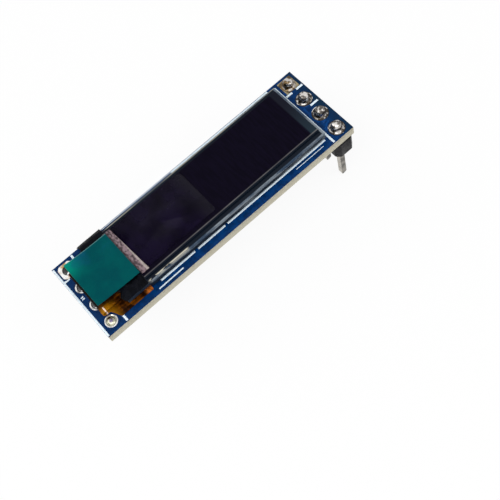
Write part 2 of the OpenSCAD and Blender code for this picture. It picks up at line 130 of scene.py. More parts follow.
class ModuleColours(bpy.types.PropertyGroup):
    """Main colours of the module."""

    mask: tint("Solder mask", "Blue of the solder mask", (0.001, 0.037, 0.155))
    mask_dark: tint("Solder mask shade", "Darker patches of the mask", (0.001, 0.021, 0.088))
    mask_stain: tint("Stained mask", "Mask under flux, round the header", (0.003, 0.020, 0.050))
    laminate: tint("Laminate", "Cut edge of the board", (0.52, 0.49, 0.39))
    laminate_dark: tint("Laminate shade", "Resin between the glass layers", (0.30, 0.27, 0.195))
    ink: tint("Ink", "Printed lines and digits", (0.80, 0.92, 1.0))
    tin: tint("Tin", "Tinned pads and part ends", (0.72, 0.71, 0.69))
    solder: tint("Solder", "Solder", (0.66, 0.63, 0.60))
    flux: tint("Flux", "Flux stain on the solder", (0.13, 0.088, 0.045))
    pin: tint("Pin", "Header pins", (0.46, 0.43, 0.375))
    plastic: tint("Header plastic", "Header strip", (0.0055, 0.0055, 0.0065))
    screen: tint("Screen", "Lit area behind the polarizer", (0.0024, 0.0015, 0.0062))
    margin: tint("Screen margin", "Margin beyond the lit area's end", (0.0095, 0.0105, 0.018))
    margin_light: tint("Screen margin light", "Lighter side of that margin", (0.016, 0.028, 0.040))
    film_end: tint("Film end", "Haze at the free end of the film", (0.0150, 0.0135, 0.0225))
    film: tint("Protective film", "Tint of the film", (0.0032, 0.0018, 0.0085))
    strip: tint("Frosted strip", "Strip that holds the tab", (0.245, 0.175, 0.195))
    tab: tint("Pull tab", "Green of the tab", (0.0, 0.062, 0.072))
    # painted light: the lighter green stands for light caught where the tab bends up
    tab_light: tint("Pull tab light", "Lighter green where the tab bends", (0.0, 0.24, 0.17))
    tab_blue: tint("Pull tab blue", "Bluer patches of the tab", (0.004, 0.085, 0.16))
    tape: tint("Ledge tape", "Black tape over the chip", (0.0012, 0.0015, 0.0026))
    amber: tint("Flex", "Amber of the bare flex", (0.17, 0.046, 0.0006))
    copper: tint("Flex copper", "Copper under the flex's cover", (0.042, 0.010, 0.0005))
    glass: tint("Glass", "Panel glass over its black mask", (0.0052, 0.0088, 0.0165))
    glass_edge: tint("Glass edge", "Ground edges of the panel glass", (0.036, 0.060, 0.100))
    glass_glint: tint("Glass glint", "Brightest places of those edges", (0.33, 0.37, 0.40))
    # painted highlight: used on a stretch of the near edge and on the far rim of the glass
    glass_polish: tint("Polished edge", "Polished stretch of the near edge", (0.56, 0.53, 0.43))
    ceramic: tint("Ceramic", "Capacitor ceramic", (0.56, 0.29, 0.145))
    ceramic_dark: tint("Ceramic shade", "Darker capacitor ceramic", (0.27, 0.125, 0.078))
    glaze: tint("Glaze", "Black glaze of a resistor", (0.012, 0.012, 0.013))
    moulded: tint("Moulded black", "Epoxy of the moulded parts", (0.014, 0.0125, 0.012))


class ModuleStage(bpy.types.PropertyGroup):
    """Camera and lamps."""

    aim_u: length("Aim along", "Aimed point, from the flex end of the board", 16.155 * MM)
    aim_v: length("Aim across", "Aimed point, from the board's near edge", -2.835 * MM, low=-1.0)
    azimuth: turn("Azimuth", "Direction of the camera round the module", -111.22)
    elevation: turn("Elevation", "Height of the camera over the board", 64.81)
    roll: turn("Roll", "Turn of the camera about its own axis", 21.61)
    distance: length("Distance", "Distance from the aimed point", 92.97 * MM)
    lens: amount("Lens", "Focal length in millimetres on a 36 mm sensor", 67.1)
    key: amount("Key lamp", "Power of the large lamp", 1.0)
    fill: amount("Fill lamp", "Power of the fill lamp", 0.6)
    back: amount("Back lamp", "Power of the lamp behind", 0.3)
    ambient: amount("Ambient", "Strength of the soft light all round", 0.42)
    floor_size: length("Floor size", "Side of the floor", 1.2)


# smaller tints, each used by one finish
POLARIZER_CUT = (0.125, 0.122, 0.125)
STRIP_FREE_EDGE = (0.52, 0.46, 0.42)
# painted highlight along the pull tab's far edge
TAB_EDGE_HIGHLIGHT = (0.16, 0.36, 0.36)
FLEX_GOLD = (0.45, 0.185, 0.004)
FLEX_FOOT = (0.62, 0.17, 0.025)
# painted shadow of the pull tab over the flex fold
FLEX_FOLD_SHADOW = (0.004, 0.003, 0.002)
# painted glint on the bend of the flex
FLEX_GLINT = (1.0, 0.78, 0.66)
CLEAR_RESIDUE = (0.050, 0.041, 0.032)
# painted shade inside an open hole
PAINTED_HOLE_SHADE = (0.012, 0.010, 0.009)
COPPER_STAIN = (0.42, 0.26, 0.12)
BURNT_FLUX = (0.030, 0.027, 0.024)
DULL_SOLDER = (0.50, 0.49, 0.38)
DULL_SOLDER_SHADE = (0.22, 0.21, 0.15)
SOLDER_RING = (0.06, 0.055, 0.045)
PLUG_TOP = (0.20, 0.16, 0.26)
STAINED_PAD = (0.34, 0.29, 0.18)
STAINED_PAD_SHADE = (0.09, 0.065, 0.04)
ALUMINA = (0.62, 0.60, 0.55)
ALUMINA_SHADE = (0.50, 0.48, 0.43)
FOAM = (0.02, 0.02, 0.02)
FOAM_SHADE = (0.035, 0.035, 0.034)
SEAL = (0.014, 0.017, 0.020)
SEAL_SHADE = (0.008, 0.010, 0.013)
FILM_RIM = (0.042, 0.040, 0.050)
FILM_RIM_LIGHT = (0.085, 0.083, 0.092)
SILICON = (0.02, 0.02, 0.024)
SILICON_LIGHT = (0.035, 0.035, 0.04)
MARKING = (0.55, 0.50, 0.40)
MARKING_SHADE = (0.40, 0.36, 0.28)
FLOOR = (0.93, 0.93, 0.93)
FLOOR_SHADE = (0.91, 0.91, 0.91)
WHITE = (1.0, 1.0, 1.0, 1.0)


# ---- small helpers ---------------------------------------------------------------------


def sizes():
    """The sizes that are set in the scene."""
    return bpy.context.scene.module_sizes


def colours():
    """The colours that are set in the scene."""
    return bpy.context.scene.module_colours


def spot(u, v, z=0.0):
    """A point u, v millimetres along and across the board, at height z in metres."""
    low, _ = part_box("pcb")
    return Vector((low.x + u * MM, low.y + v * MM, z))


def middle(node):
    """The middle of a CAD node's box."""
    low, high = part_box(node)
    return (low + high) / 2


def quarter(steps, first=0):
    """Angles from nought to a right angle."""
    return [math.radians(90 * i / steps) for i in range(first, steps + 1)]


def piece(name, bm, finishes, stands_for=(), sharp=35):
    """Makes a piece of a bmesh, smooth but for its sharp edges, and lets it ride on the frame."""
    mesh = bpy.data.meshes.new(name)
    bm.normal_update()
    bm.to_mesh(mesh)
    bm.free()
    for finish in finishes:
        mesh.materials.append(material(finish))
    mesh.shade_smooth()
    mesh.set_sharp_from_angle(angle=math.radians(sharp))
    made = bpy.data.objects.new(name, mesh)
    bpy.context.scene.collection.objects.link(made)
    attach(made, "root")
    if stands_for:
        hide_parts(*stands_for)
    return made


def merged_copy(node):
    """The solid of a CAD node as a bmesh with its loose triangles joined."""
    bm = bmesh.new()
    bm.from_mesh(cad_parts[node].data)
    bmesh.ops.remove_doubles(bm, verts=bm.verts[:], dist=0.0005 * MM)
    bmesh.ops.dissolve_limit(
        bm, angle_limit=math.radians(1), verts=bm.verts[:], edges=bm.edges[:]
    )
    return bm


def round_edges(made, share):
    """Rounds the sharp edges by a share of the module's edge rounding."""
    bevel = made.modifiers.new("round", "BEVEL")
    bevel.width = share * sizes().edge_round
    bevel.segments = 2
    bevel.limit_method = "ANGLE"
    bevel.angle_limit = math.radians(35)
    bevel.harden_normals = True
    return made


def dressed(node, finish, share):
    """A copy of a hard CAD node with its edges rounded, standing for that node."""
    return round_edges(piece(f"{node}_dressed", merged_copy(node), [finish], [node]), share)


def coat(node, finish):
    """Gives a CAD node whose shape is right its finish."""
    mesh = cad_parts[node].data
    mesh.materials.clear()
    mesh.materials.append(material(finish))


def roughen(bm, reach, grain, seed, keep=lambda co: 1.0):
    """Moves each vertex along its normal by smooth noise; keep() says how much of it."""
    bm.normal_update()
    offset = Vector((seed, 2 * seed, 3 * seed))
    for vert in bm.verts:
        lift = noise.noise(vert.co / grain + offset)
        vert.co += vert.normal * lift * reach * keep(vert.co)


def lathe(bm, centre, outline, steps):
    """Spins an outline of (radius, height) pairs round a vertical axis through centre."""
    before = set(bm.verts)
    verts = [bm.verts.new(centre + Vector((r, 0, z))) for r, z in outline]
    edges = [bm.edges.new(pair) for pair in zip(verts, verts[1:])]
    bmesh.ops.spin(
        bm, geom=verts + edges, cent=centre, axis=(0, 0, 1), angle=math.tau, steps=steps,
        use_merge=True,
    )
    fresh = [v for v in bm.verts if v not in before]
    bmesh.ops.remove_doubles(bm, verts=fresh, dist=0.001 * MM)
    faces = [f for f in bm.faces if all(v not in before for v in f.verts)]
    bmesh.ops.recalc_face_normals(bm, faces=faces)
    return [v for v in bm.verts if v not in before]


def line_art(name, strokes, width, rise, finish):
    """Raised round-ended lines: each stroke is a list of points on a face of the board."""
    curve = bpy.data.curves.new(name, "CURVE")
    curve.dimensions = "3D"
    curve.bevel_depth = width / 2
    curve.bevel_resolution = 2
    curve.use_fill_caps = True
    for points in strokes:
        spline = curve.splines.new("POLY")
        spline.points.add(len(points) - 1)
        for target, point in zip(spline.points, points):
            target.co = (*point, 1.0)
    drawn = bpy.data.objects.new(f"{name}_curve", curve)
    bpy.context.scene.collection.objects.link(drawn)
    bpy.context.view_layer.update()
    mesh = bpy.data.meshes.new_from_object(drawn)
    bpy.data.objects.remove(drawn)
    bm = bmesh.new()
    bm.from_mesh(mesh)
    level = strokes[0][0].z
    for vert in bm.verts:
        vert.co.z = level + (vert.co.z - level) * 2 * rise / width
    bmesh.ops.recalc_face_normals(bm, faces=bm.faces[:])
    return piece(name, bm, [finish], sharp=80)


# ---- what the finishes are made with ---------------------------------------------------


SMOOTH = {"interpolation_type": "SMOOTHSTEP"}


class Nodes:
    """Adds nodes to a tree. An input is a number, a colour or the socket that feeds it."""

    def __init__(self, tree):
        self.tree = tree

    def feed(self, socket, value):
        """Links a socket into an input, or sets the input to a number or a colour."""
        if isinstance(value, bpy.types.NodeSocket):
            self.tree.links.new(value, socket)
        else:
            socket.default_value = value

    def add(self, kind, settings=None, **inputs):
        """Adds a node; an input goes by its name, or by i and its number."""
        node = self.tree.nodes.new(kind)
        for key, value in (settings or {}).items():
            setattr(node, key, value)
        for key, value in inputs.items():
            self.feed(node.inputs[int(key[1:]) if key[1:].isdigit() else key], value)
        return node

    def calc(self, operation, a, b=0.0, c=0.0, clamp=False):
        """One step of arithmetic."""
        settings = {"operation": operation, "use_clamp": clamp}
        return self.add("ShaderNodeMath", settings, i0=a, i1=b, i2=c).outputs[0]

    def times(self, product, *factors):
        """A product."""
        for factor in factors:
            product = self.calc("MULTIPLY", product, factor)
        return product

    def ramp(self, value, start, end):
        """A smooth step from 0 at start to 1 at end."""
        return self.add("ShaderNodeMapRange", SMOOTH, i0=value, i1=start, i2=end).outputs[0]

    def fade(self, value, origin, start, end):
        """A smooth step between two distances in millimetres from an origin."""
        return self.ramp(value, origin + start * MM, origin + end * MM)

    def band(self, value, start, end, soft):
        """1 between start and end and 0 elsewhere, with soft edges."""
        rise = self.ramp(value, start - soft, start + soft)
        return self.times(rise, self.ramp(value, end + soft, end - soft))

    def stripe(self, value, origin, start, end, soft):
        """A band between two distances in millimetres from an origin."""
        return self.band(value, origin + start * MM, origin + end * MM, soft * MM)

    def mix_value(self, factor, a, b):
        """A number between a and b."""
        return self.add("ShaderNodeMix", i0=factor, i2=a, i3=b).outputs[0]

    def mix(self, factor, a, b):
        """A colour between a and b."""
        a, b = (c if isinstance(c, bpy.types.NodeSocket) else (*c, 1.0) for c in (a, b))
        return self.add("ShaderNodeMix", {"data_type": "RGBA"}, i0=factor, i6=a, i7=b).outputs[2]

    def seen_rays(self):
        """1 for rays from the camera, off gloss or through glass."""
        path = self.add("ShaderNodeLightPath").outputs
        seen = self.calc("MAXIMUM", path["Is Camera Ray"], path["Is Glossy Ray"])
        return self.calc("MAXIMUM", seen, path["Is Transmission Ray"])


class Finish(Nodes):
    """A material in the making; its patterns follow the object's own coordinates."""

    def __init__(self, name):
        self.material = bpy.data.materials.new(name)
        self.material.use_nodes = True
        super().__init__(self.material.node_tree)
        self.shader = self.tree.nodes["Principled BSDF"]
        self.coordinates = self.add("ShaderNodeTexCoord").outputs

    def set(self, **inputs):
        """Sets or links inputs of the main shader."""
        for key, value in inputs.items():
            self.feed(self.shader.inputs[key.replace("_", " ")], value)

    def axes(self, kind="Object"):
        """The object coordinates, or the normal, as three sockets."""
        return self.add("ShaderNodeSeparateXYZ", Vector=self.coordinates[kind]).outputs

    def cloud(self, size, low=0.0, high=1.0, detail=3.0, stretch=(1, 1, 1), edge=(0.35, 0.65)):
        """Soft noise of about a given size in millimetres, mapped to low..high."""
        at = self.coordinates["Object"]
        scale = tuple(s / (size * MM) for s in stretch)
        mapped = self.add("ShaderNodeMapping", Vector=at, Scale=scale).outputs[0]
        raw = self.add("ShaderNodeTexNoise", Vector=mapped, Scale=1.0, Detail=detail).outputs[0]
        spread = {"i0": raw, "i1": edge[0], "i2": edge[1], "i3": low, "i4": high}
        return self.add("ShaderNodeMapRange", SMOOTH, **spread).outputs[0]

    def bump(self, height, depth):
        """A normal from a height socket; depth in millimetres."""
        return self.add("ShaderNodeBump", Height=height, Distance=depth * MM).outputs[0]

    def skin(self, rough, size=0.3, grain=0.12, depth=0.004, detail=3.0):
        """Roughness that drifts between two values, and a slightly uneven surface."""
        self.set(Roughness=self.cloud(size, *rough))
        self.set(Normal=self.bump(self.cloud(grain, detail=detail), depth))


def scaled(colour, factor):
    """A colour made lighter or darker."""
    return tuple(min(c * factor, 1.0) for c in colour)


def two_tone(name, a, b, size, rough, grain=0.0, depth=0.0, **more):
    """A finish that drifts between two colours; grain and depth of its bump in millimetres."""
    f = Finish(name)
    f.set(Base_Color=f.mix(f.cloud(size), a, b), **more)
    if depth:
        f.skin(rough, size * 0.4, grain, depth, detail=4.0)
    else:
        f.set(Roughness=f.cloud(size * 0.4, *rough))
    return f.material


def metal(name, colour, stain, rough, size=0.5, share=(0.55, 0.75)):
    """Bright metal with stained patches and a slightly uneven skin."""
    f = Finish(name)
    f.set(Base_Color=f.mix(f.cloud(size, edge=share), colour, stain), Metallic=1.0)
    f.skin(rough)
    return f.material


# ---- finishes --------------------------------------------------------------------------


def board_finish():
    """Solder mask on both faces, glass-fibre laminate at the cut edges and in the holes."""
    c = colours()
    f = Finish("board")
    low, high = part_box("pcb")
    x, _, z = f.axes()
    flat = f.ramp(f.calc("ABSOLUTE", f.axes("Normal")[2]), 0.55, 0.75)
    weave = f.cloud(0.5, detail=2.0)
    blue = f.mix(weave, c.mask, c.mask_dark)
    blue = f.mix(f.times(f.fade(x, low.x, 9, 0), 0.6), blue, c.mask_dark)
    stain = f.times(f.fade(x, high.x, -1.7, -0.6), f.cloud(1.6, 0.6, 1.0), f.ramp(z, low.z, high.z))
    blue = f.mix(stain, blue, c.mask_stain)
    layers = f.calc("FRACT", f.times(z, 1 / (0.19 * MM)))
    strands = f.times(f.ramp(layers, 0.25, 0.6), f.cloud(0.35, stretch=(1, 1, 3)))
    strands = f.times(strands, f.ramp(z, low.z + 0.25 * MM, high.z))
    cut = f.mix(strands, c.laminate, c.laminate_dark)
    f.set(Base_Color=f.mix(flat, cut, blue), Specular_IOR_Level=0.07)
    f.set(Roughness=f.mix_value(flat, 0.8, f.cloud(1.5, 0.22, 0.34)))
    f.set(Normal=f.bump(f.calc("ADD", weave, strands), 0.006))
    return f.material


def glass_finish():
    """Panel glass over its black mask, with light ground edges that carry painted glints and
    highlights; painted shade on the rear glass and along the seam.
    """
    c = colours()
    f = Finish("panel_glass")
    low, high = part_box("front_glass")
    width = sizes().ground_edge
    x, y, z = f.axes()
    face = f.times(f.band(x, low.x + width, high.x - 2.2 * width, 0.3 * width),
                   f.band(y, low.y + width, high.y - 1.3 * width, 0.3 * width))
    # painted glints at random places along the ground edges
    glints = f.cloud(3, 0.0, 0.6, detail=5.0, stretch=(1, 1, 4), edge=(0.44, 0.64))
    edge = f.mix(glints, c.glass_edge, c.glass_glint)
    along = f.ramp(x, low.x + 12 * MM, high.x - 8 * MM)
    # painted highlight along the lower arris of the front glass's sides
    edge = f.mix(f.times(f.stripe(z, low.z, 0, 0.09, 0.02), along), edge, c.glass_glint)
    # painted highlight on the far rim of the top face
    far = f.times(f.ramp(y, high.y - 1.5 * width, high.y - 1.2 * width),
                  f.cloud(6, 0.35, 1.0, edge=(0.4, 0.6)))
    edge = f.mix(far, edge, scaled(c.glass_polish, 0.7))
    edge = f.mix(f.ramp(y, high.y - 0.65 * width, high.y - 0.45 * width), edge, c.glass)
    # painted shade on the rear glass's edges, with painted glints on them
    rear = f.mix(f.times(glints, along), scaled(c.glass_edge, 0.3), c.glass_glint)
    edge = f.mix(f.fade(z, low.z, -0.03, 0.07), rear, edge)
    # painted shade along the seam between the two glasses
    seam_shade = f.times(f.stripe(z, low.z, -0.09, 0.05, 0.02), 0.85)
    edge = f.mix(seam_shade, edge, c.glass)
    edge = f.mix(f.times(f.fade(x, low.x, 3.4, 2.8), 0.85), edge, c.glass)
    # painted highlight on a stretch of the near edge, on its top and its side
    highlight_stretch = f.times(f.stripe(x, low.x, 2.9, 7.9, 0.2),
                       f.cloud(0.8, stretch=(0.6, 1, 1), edge=(0.40, 0.46)))
    line = f.band(y, low.y + width, low.y + 2.3 * width, 0.25 * width)
    wall = f.times(f.ramp(y, low.y + width, low.y + 0.5 * width), f.fade(z, low.z, 0.2, 0.3))
    highlight_stretch = f.times(highlight_stretch, f.calc("MULTIPLY_ADD", wall, 0.45, line))
    f.set(Base_Color=f.mix(highlight_stretch, f.mix(face, edge, c.glass), c.glass_polish))
    chips = f.cloud(0.12, stretch=(1, 1, 0.4))
    f.set(Roughness=f.mix_value(face, f.calc("MULTIPLY_ADD", chips, 0.3, 0.15), 0.05))
    f.set(Normal=f.bump(f.times(chips, f.calc("SUBTRACT", 1.0, face)), 0.01))
    f.set(Specular_IOR_Level=0.08)
    return f.material


def screen_finish():
    """Polarizer: near black over the lit area, bluish at its end, with a light cut near edge."""
    c = colours()
    f = Finish("screen")
    low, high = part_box("polarizer")
    x, y, _ = f.axes()
    streaks = f.cloud(0.25, stretch=(1, 0.12, 1))
    face = f.mix(streaks, c.screen, scaled(c.screen, 1.5))
    beyond = f.mix(f.ramp(y, high.y - 1.5 * MM, low.y), c.margin, c.margin_light)
    face = f.mix(f.fade(x, high.x, -0.92, -0.68), face, beyond)
    face = f.mix(f.fade(y, low.y, 0.20, 0.12), face, c.glass)
    cut = f.times(f.stripe(y, low.y, 0.18, 0.30, 0.04), f.cloud(3, 0.55, 1.0))
    f.set(Base_Color=f.mix(cut, face, POLARIZER_CUT), Specular_IOR_Level=0.03)
    f.set(Roughness=f.cloud(2, 0.10, 0.16), Normal=f.bump(streaks, 0.0005))
    return f.material


def film_finish():
    """Thin clear film with a faint violet tint, hazier towards its free end."""
    c = colours()
    f = Finish("clear_film")
    _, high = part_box("protective_film")
    haze = f.cloud(2.2)
    end = f.calc("POWER", f.fade(f.axes()[0], high.x, -2.4, 0), 2.0)
    tinted = f.mix(haze, c.film, scaled(c.film, 2.0))
    f.set(Base_Color=f.mix(end, tinted, c.film_end), Specular_IOR_Level=0.04)
    f.set(Alpha=f.calc("MULTIPLY_ADD", haze, 0.15, 0.8))
    f.skin((0.26, 0.36), 1.6, 1.3, 0.006)
    return f.material


def strip_finish():
    """Frosted strip: finely mottled, pale at its free edge, with painted shadow along the root of
    the tab.
    """
    c = colours()
    f = Finish("frosted_tape")
    low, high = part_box("frosted_strip")
    x = f.axes()[0]
    mottle = f.cloud(0.2, detail=5.0, stretch=(1, 0.6, 1), edge=(0.4, 0.6))
    base = f.mix(mottle, c.strip, scaled(c.strip, 0.28))
    base = f.mix(f.times(f.fade(x, high.x, -0.16, -0.08), 0.6), base, STRIP_FREE_EDGE)
    # painted shadow of the tab's root on the strip
    shade = f.times(f.fade(x, low.x, 0.30, 0.06), 0.75)
    f.set(Base_Color=f.mix(shade, base, scaled(c.strip, 0.08)), Specular_IOR_Level=0.1)
    f.set(Roughness=f.cloud(0.2, 0.4, 0.65), Normal=f.bump(mottle, 0.02))
    return f.material


def tab_finish():
    """Green film of the pull tab: painted light where it bends up, bluer in patches, and a painted
    highlight along its cut far edge.
    """
    c = colours()
    f = Finish("green_film")
    low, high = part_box("pull_tab")
    x, y, _ = f.axes()
    corner = f.fade(y, high.y, -2.8, 0)
    # painted light on the corner where the tab bends up
    light = f.times(f.fade(x, low.x, 2.2, 0), corner)
    light = f.calc("MULTIPLY_ADD", f.cloud(1.8), 0.08, light, clamp=True)
    base = f.mix(light, c.tab, c.tab_light)
    base = f.mix(f.times(f.cloud(2.4, 0.0, 0.7, edge=(0.45, 0.7)), corner), base, c.tab_blue)
    # painted highlight along the tab's cut far edge
    cut = f.times(f.fade(y, high.y, -0.10, -0.04), 0.6)
    f.set(Base_Color=f.mix(cut, base, TAB_EDGE_HIGHLIGHT), Specular_IOR_Level=0.03)
    f.skin((0.26, 0.4), 1.0, 0.9, 0.012)
    return f.material


def flex_finish():
    """Amber film over parallel copper lines, with painted shadow of the tab darkening the fold, a
    painted glint on the bend, and golden at its near corner.
    """
    c = colours()
    f = Finish("flex_film")
    low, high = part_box("display_flex")
    x, y, _ = f.axes()
    lines = f.calc("PINGPONG", f.calc("DIVIDE", y, 0.42 * MM), 0.5)
    copper = f.ramp(lines, 0.16, 0.24)
    base = f.mix(f.times(copper, 0.6), c.amber, c.copper)
    # dark patches at random places: painted shade of the wrinkled flex
    patches = f.cloud(1.1, 0.0, 0.95, edge=(0.36, 0.54))
    base = f.mix(patches, base, scaled(c.copper, 0.25))
    gold = f.times(f.fade(x, low.x, 2.0, 0.5), f.fade(y, low.y, 2.2, 1.2), 0.8)
    base = f.mix(gold, base, FLEX_GOLD)
    foot = f.times(f.fade(x, high.x, -1.0, -0.5), f.fade(y, low.y, 1.0, 0.5))
    base = f.mix(f.times(foot, f.cloud(0.35, 0.3, 1.0), 0.9), base, FLEX_FOOT)
    # painted shadow of the overhanging tab over the middle of the fold
    shadowed_span = f.band(y, low.y + 2.0 * MM, high.y - 1.6 * MM, 0.5 * MM)
    base = f.mix(f.times(f.fade(x, low.x, 1.2, 0.8), shadowed_span, 0.96), base, FLEX_FOLD_SHADOW)
    # painted glint on the bend of the fold
    painted_glint = f.times(f.stripe(x, low.x, 0.40, 0.54, 0.04), f.stripe(y, low.y, 1.15, 1.75, 0.1))
    f.set(Base_Color=f.mix(painted_glint, base, FLEX_GLINT), Specular_IOR_Level=0.035)
    f.set(Roughness=f.cloud(0.9, 0.18, 0.32), Normal=f.bump(copper, 0.012))
    return f.material


def joint_finish():
    """Hand-soldered joint: bright on top, stained with flux at its foot and most at way 1."""
    c = colours()
    f = Finish("solder")
    low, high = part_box("solder_joint_1")
    _, board_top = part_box("pcb")
    _, y, z = f.axes()
    patches = f.cloud(0.4, 0.0, 0.9, edge=(0.42, 0.58))
    burnt = f.ramp(y, low.y - 1.0 * MM, high.y - 1.0 * MM)
    stain = f.calc("MULTIPLY_ADD", f.fade(z, board_top.z, 0.35, 0), 0.45, patches)
    stain = f.calc("MULTIPLY_ADD", burnt, 0.18, stain, clamp=True)
    residue = f.mix(burnt, CLEAR_RESIDUE, c.flux)
    f.set(Base_Color=f.mix(stain, c.solder, residue), Metallic=1.0)
    f.skin((0.12, 0.3))
    return f.material


def pin_finish():
    """Tinned brass: bright, with duller patches and painted shade on its faces towards the near
    edge.
    """
    c = colours()
    f = Finish("pin_metal")
    # painted shade: faces turned towards the near edge are darkened by their normal
    side = f.times(f.ramp(f.axes("Normal")[1], -0.3, -0.8), f.cloud(1.2, 0.4, 0.9))
    base = f.mix(f.cloud(0.8, edge=(0.55, 0.75)), c.pin, scaled(c.pin, 0.6))
    f.set(Base_Color=f.mix(side, base, scaled(c.pin, 0.12)), Metallic=1.0)
    f.skin((0.22, 0.36))
    return f.material


def way_radius(f, node):
    """The distance from the axis of the nearest way in the column that a node belongs to."""
    pitch = middle("header_pin_1").y - middle("header_pin_2").y
    centre = middle(node)
    x, y, _ = f.axes()
    across = f.calc("SUBTRACT", x, centre.x)
    ways = f.calc("DIVIDE", f.calc("SUBTRACT", y, centre.y - pitch / 2), pitch)
    along = f.times(f.calc("SUBTRACT", f.calc("FRACT", ways), 0.5), pitch)
    return f.calc("SQRT", f.calc("MULTIPLY_ADD", across, across, f.times(along, along)))


def lap_mask(f, radius, tone, rim):
    """Metal inside a rim given in millimetres; outside it the solder mask laps over the pad."""
    lapped = f.fade(radius, 0, rim - 0.01, rim + 0.01)
    f.set(Base_Color=f.mix(lapped, tone, colours().mask_dark), Specular_IOR_Level=0.07)
    f.set(Metallic=f.calc("SUBTRACT", 1.0, lapped))


def spare_finish(name, rim, stain):
    """Tinned pad of an open hole, with painted shade inside the hole."""
    f = Finish(name)
    radius = way_radius(f, "spare_eyelet_2")
    bright = f.mix(f.cloud(0.6, edge=(0.5, 0.66)), colours().tin, stain)
    # painted shade inside the hole and on the inner edge of its pad
    lap_mask(f, radius, f.mix(f.fade(radius, 0, 0.60, 0.54), bright, PAINTED_HOLE_SHADE), rim)
    f.skin((0.2, 0.36))
    return f.material


def plug_finish():
    """Solder that closes a hole: a light rim, dull rings and a violet-grey top."""
    c = colours()
    f = Finish("clean_solder")
    radius = way_radius(f, "solder_plug")
    uneven = f.cloud(0.9, edge=(0.4, 0.6))
    tone = f.mix(uneven, c.tin, scaled(c.tin, 0.5))
    dull = f.mix(uneven, DULL_SOLDER, DULL_SOLDER_SHADE)
    tone = f.mix(f.fade(radius, 0, 0.62, 0.56), tone, dull)
    tone = f.mix(f.times(f.stripe(radius, 0, 0.36, 0.46, 0.05), uneven), tone, SOLDER_RING)
    tone = f.mix(f.fade(radius, 0, 0.26, 0.14), tone, PLUG_TOP)
    lap_mask(f, radius, tone, 0.70)
    f.skin((0.2, 0.35), grain=0.15)
    return f.material


def resistor_finish():
    """White alumina with a black glaze over the outer face."""
    f = Finish("resistor_ceramic")
    low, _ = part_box("resistor_1")
    glaze = f.fade(f.axes()[2], low.z, 0.14, 0.10)
    white = f.mix(f.cloud(0.3), ALUMINA, ALUMINA_SHADE)
    f.set(Base_Color=f.mix(glaze, white, colours().glaze), Specular_IOR_Level=0.35)
    f.skin((0.3, 0.45), 0.4, 0.1)
    return f.material


def make_materials():
    """All finishes, by name."""
    c = colours()
    soft = {"Specular_IOR_Level": 0.08}
    return {
        "board": board_finish(),
        "tin": metal("bare_tin", c.tin, scaled(c.tin, 0.45), (0.18, 0.34)),
        "spare_tin": spare_finish("spare_tin", 0.72, scaled(c.tin, 0.3)),
        "square_spare_tin": spare_finish("square_spare_tin", 1.02, COPPER_STAIN),
        "solder": joint_finish(),
        "clean_solder": plug_finish(),
        "lead_solder": metal("lead_solder", c.tin, scaled(c.tin, 0.4), (0.12, 0.3), 0.4),
        "fluxed_tin": metal("fluxed_tin", BURNT_FLUX, c.tin, (0.2, 0.35), 0.8, (0.54, 0.62)),
        "stained_tin": metal("stained_tin", STAINED_PAD, STAINED_PAD_SHADE, (0.3, 0.5), 0.6,
                             (0.4, 0.6)),
        "pin": pin_finish(),
        "ends": metal("part_ends", c.tin, scaled(c.tin, 0.35), (0.2, 0.4), 0.4),
        "header": two_tone("header_plastic", c.plastic, scaled(c.plastic, 2.2), 1.2, (0.28, 0.45),
                           0.12, 0.006, **soft),
        "foam": two_tone("foam", FOAM, FOAM_SHADE, 0.3, (0.85, 0.95), 0.06, 0.02),
        "glass": glass_finish(),
        "seal": two_tone("seal", SEAL, SEAL_SHADE, 1.0, (0.4, 0.6)),
        "emitter": two_tone("emitter", c.screen, scaled(c.screen, 2.0), 1.0, (0.2, 0.3)),
        "screen": screen_finish(),
        "film": film_finish(),
        "film_rim": two_tone("film_rim", FILM_RIM, FILM_RIM_LIGHT, 0.8, (0.3, 0.5), **soft),
        "strip": strip_finish(),
        "tab": tab_finish(),
        "tape": two_tone("black_tape", c.tape, scaled(c.tape, 2.5), 0.8, (0.22, 0.35),
                         1.1, 0.10, Specular_IOR_Level=0.04),
        "silicon": two_tone("silicon", SILICON, SILICON_LIGHT, 0.8, (0.15, 0.25)),
        "flex": flex_finish(),
        "ceramic": two_tone("capacitor_ceramic", c.ceramic, c.ceramic_dark, 1.1, (0.35, 0.5),
                            0.08, 0.004),
        "resistor": resistor_finish(),
        "moulded": two_tone("moulded_black", c.moulded, scaled(c.moulded, 2.4), 0.5, (0.4, 0.6),
                            0.07, 0.008, **soft),
        "ink": two_tone("printed_ink", c.ink, scaled(c.ink, 0.9), 0.3, (0.45, 0.6), 0.08, 0.003),
        "mark": two_tone("marking_ink", MARKING, MARKING_SHADE, 0.2, (0.5, 0.6)),
        "trace": two_tone("masked_copper", scaled(c.mask, 1.45), scaled(c.mask, 1.1), 0.5,
                          (0.22, 0.32), **soft),
    }


MATERIALS = {}


def material(finish):
    """A material by its finish; all are made when the first is asked for."""
    if not MATERIALS:
        MATERIALS.update(make_materials())
    return MATERIALS[finish]


# ---- printed lines and digits ----------------------------------------------------------


def bow(cx, cy, rx, ry, start, end, steps=8):
    """Points along an ellipse arc, from start to end in degrees."""
    angles = [math.radians(start + (end - start) * i / steps) for i in range(steps + 1)]
    return [(cx + rx * math.cos(a), cy + ry * math.sin(a)) for a in angles]


